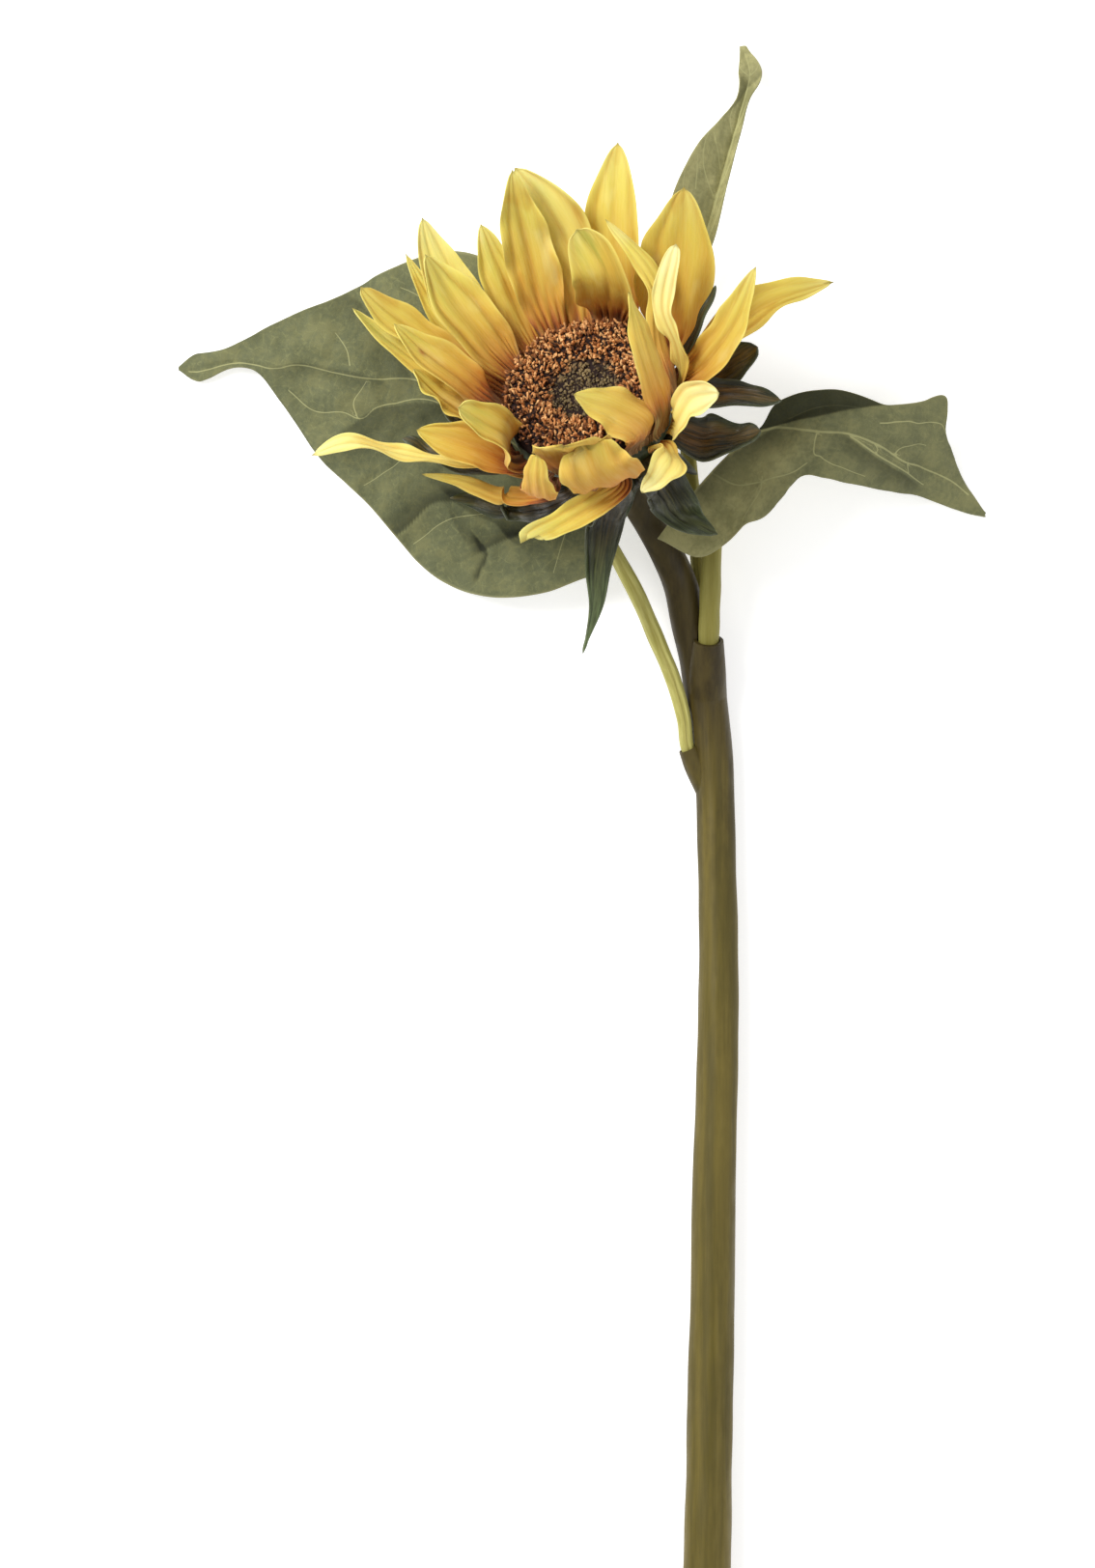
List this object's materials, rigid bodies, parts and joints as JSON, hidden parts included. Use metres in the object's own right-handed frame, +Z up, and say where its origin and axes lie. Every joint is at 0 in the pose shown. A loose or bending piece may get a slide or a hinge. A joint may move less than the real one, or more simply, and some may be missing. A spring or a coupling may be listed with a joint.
{
  "type": "cut sunflower",
  "caption": "Cut flower lying on its back: a round seed head ringed by pointed yellow petals and dark sepals, on a long curved stem with broad leaves on stalks.",
  "frame": {"origin": "bottom centre of the flower's bounding box, on the surface it lies on", "axes": "+Y along the stem from the cut end towards the flower head, +Z up from the surface and out of the side that the seed head mostly faces, +X to the right seen from above"},
  "size_m": [0.2486, 0.572, 0.1024],
  "materials": {
    "petal": "matt, finely creased along its length, orange-brown where it is gathered",
    "sepal": "glossy, dark green with a brown flush",
    "leaf": "matt, grey-green with pale veins",
    "petiole": "satin, pale yellow-green",
    "stem": "satin, brown olive, darker towards the head",
    "receptacle": "satin, dark green",
    "seeds": "rough, orange-brown tufts round a darker middle"
  },
  "bodies": {
    "root": {"leaf_left": "leaf", "leaf_right": "leaf", "leaf_top": "leaf", "petal_01": "petal", "petal_02": "petal", "petal_03": "petal", "petal_04": "petal", "petal_05": "petal", "petal_06": "petal", "petal_07": "petal", "petal_08": "petal", "petal_09": "petal", "petal_10": "petal", "petal_11": "petal", "petal_12": "petal", "petal_13": "petal", "petal_14": "petal", "petal_15": "petal", "petal_16": "petal", "petal_17": "petal", "petal_18": "petal", "petal_19": "petal", "petal_20": "petal", "petal_21": "petal", "petal_22": "petal", "petal_23": "petal", "petal_24": "petal", "petal_25": "petal", "petal_26": "petal", "petal_27": "petal", "petal_28": "petal", "petal_29": "petal", "petiole_left": "petiole", "petiole_right": "petiole", "petiole_top": "petiole", "receptacle": "receptacle", "seed_disc": "seeds", "sepal_01": "sepal", "sepal_02": "sepal", "sepal_03": "sepal", "sepal_04": "sepal", "sepal_05": "sepal", "sepal_06": "sepal", "sepal_07": "sepal", "sepal_08": "sepal", "sepal_09": "sepal", "sepal_10": "sepal", "sepal_11": "sepal", "sepal_12": "sepal", "sepal_13": "sepal", "sepal_14": "sepal", "stem": "stem"}
  },
  "joints": []
}
